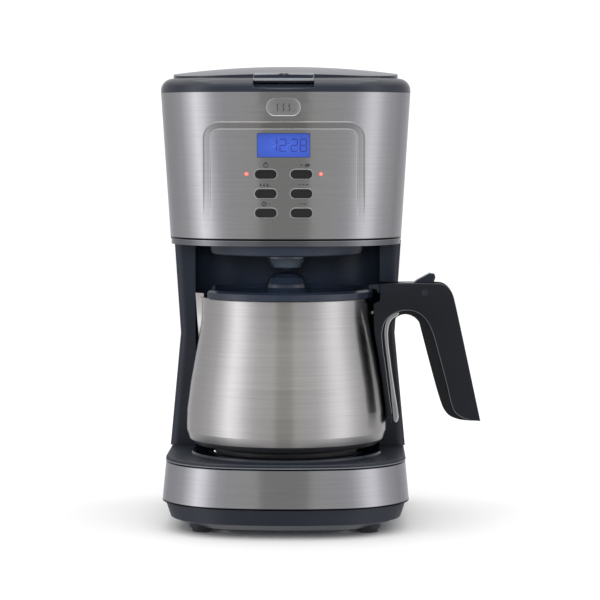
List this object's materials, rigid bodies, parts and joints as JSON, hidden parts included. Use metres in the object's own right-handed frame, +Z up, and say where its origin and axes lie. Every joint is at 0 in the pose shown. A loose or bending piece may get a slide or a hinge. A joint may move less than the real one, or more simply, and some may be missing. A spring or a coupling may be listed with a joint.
{
  "type": "drip coffee maker",
  "caption": "Drip coffee maker with a steel front, button panel and screen, hinged top lid, filter basket, warming plate and steel carafe.",
  "frame": {"origin": "on the supporting surface, under the middle of the machine's width, between the front and rear feet", "axes": "+Z up; the front with the control panel faces -Y; +X is to the viewer's right, where the carafe's handle points"},
  "size_m": [0.232, 0.231, 0.3386],
  "materials": {
    "brushed_steel": "horizontally brushed",
    "carafe_steel": "horizontally brushed",
    "gloss_black": "gloss",
    "satin_black": "satin",
    "dark_liner": "matte",
    "silver_trim": "silver lacquer",
    "plate_coating": "non-stick coating",
    "bright_metal": "polished",
    "screw_steel": "zinc plated",
    "cast_alloy": "cast",
    "rubber_black": "matte",
    "silicone": "translucent",
    "clear_tank": "smoky translucent",
    "mesh_gold": "fine woven mesh",
    "display_glass": "blue backlit",
    "board_green": "lacquered board",
    "button_dark": "satin",
    "lamp_red": "lit lens"
  },
  "bodies": {
    "machine": {"base_wrap": "brushed_steel", "base_shell": "satin_black", "bottom_cover": "satin_black", "rubber_feet": "rubber_black", "bottom_screws": "screw_steel", "cord_inlet": "rubber_black", "plate_ring": "gloss_black", "warming_plate": "plate_coating", "heater_element": "cast_alloy", "thermostat": "bright_metal", "thermal_fuses": "silicone", "lower_tower": "satin_black", "upper_tower": "satin_black", "rear_cover": "satin_black", "rear_screws": "screw_steel", "water_tank": "clear_tank", "check_valve": "silicone", "inlet_hose": "silicone", "riser_tube": "silicone", "water_outlet": "dark_liner", "housing_wrap": "brushed_steel", "upper_housing": "satin_black", "housing_trim": "silver_trim", "housing_rim": "gloss_black", "lid_hinge_pins": "bright_metal", "basket_holder": "dark_liner", "lcd_glass": "display_glass", "lcd_module": "dark_liner", "panel_carrier": "dark_liner", "control_board": "board_green", "tact_switches": "dark_liner", "button_bezels": "silver_trim", "indicator_lamps": "lamp_red", "badge": "bright_metal"},
    "top_lid_assembly": {"top_lid": "gloss_black", "lid_liner": "dark_liner", "lid_channel": "dark_liner", "shower_disc": "dark_liner"},
    "filter_basket": {"brew_basket": "satin_black", "mesh_filter": "mesh_gold", "valve_collar": "gloss_black"},
    "drip_stop": {"valve_plunger": "gloss_black", "valve_seal": "silicone"},
    "carafe": {"carafe_body": "carafe_steel", "handle_strap": "bright_metal", "handle_bracket": "bright_metal", "carafe_handle": "satin_black", "handle_screw": "screw_steel", "carafe_lid_pin": "satin_black"},
    "carafe_cap": {"carafe_lid": "gloss_black", "thumb_lever": "gloss_black"},
    "button_power_key": {"button_power": "button_dark"},
    "button_program_key": {"button_program": "button_dark"},
    "button_cups_key": {"button_cups": "button_dark"},
    "button_clock_key": {"button_clock": "button_dark"},
    "button_hour_key": {"button_hour": "button_dark"},
    "button_minute_key": {"button_minute": "button_dark"}
  },
  "joints": [
    {"name": "top_lid_hinge", "type": "hinge", "parent": "machine", "child": "top_lid_assembly", "pos_m": [0, 0.091, 0.3295], "axis": [-1, 0, 0], "range_deg": [0, 100]},
    {"name": "basket_lift", "type": "slide", "parent": "machine", "child": "filter_basket", "axis": [0, 0, 1], "range_m": [0, 0.05]},
    {"name": "drip_stop_travel", "type": "slide", "parent": "filter_basket", "child": "drip_stop", "axis": [0, 0, 1], "range_m": [-0.0055, 0]},
    {"name": "carafe_pull", "type": "slide", "parent": "machine", "child": "carafe", "axis": [0, -1, 0], "range_m": [0, 0.24]},
    {"name": "carafe_lid_hinge", "type": "hinge", "parent": "carafe", "child": "carafe_cap", "pos_m": [0.101, -0.03, 0.1732], "axis": [0, 1, 0], "range_deg": [0, 45]},
    {"name": "button_power_press", "type": "slide", "parent": "machine", "child": "button_power_key", "axis": [0, 1, 0], "range_m": [0, 0.001], "stiffness_N_per_m": 900},
    {"name": "button_program_press", "type": "slide", "parent": "machine", "child": "button_program_key", "axis": [0, 1, 0], "range_m": [0, 0.001], "stiffness_N_per_m": 900},
    {"name": "button_cups_press", "type": "slide", "parent": "machine", "child": "button_cups_key", "axis": [0, 1, 0], "range_m": [0, 0.001], "stiffness_N_per_m": 900},
    {"name": "button_clock_press", "type": "slide", "parent": "machine", "child": "button_clock_key", "axis": [0, 1, 0], "range_m": [0, 0.001], "stiffness_N_per_m": 900},
    {"name": "button_hour_press", "type": "slide", "parent": "machine", "child": "button_hour_key", "axis": [0, 1, 0], "range_m": [0, 0.001], "stiffness_N_per_m": 900},
    {"name": "button_minute_press", "type": "slide", "parent": "machine", "child": "button_minute_key", "axis": [0, 1, 0], "range_m": [0, 0.001], "stiffness_N_per_m": 900}
  ],
  "couplings": [
    {"joint": "basket_lift", "follows": "top_lid_hinge", "m_per_rad": 0.0286},
    {"joint": "drip_stop_travel", "follows": "carafe_pull", "ratio": -0.0229},
    {"joint": "carafe_lid_hinge", "follows": "carafe_pull", "rad_per_m": 1.4544}
  ]
}
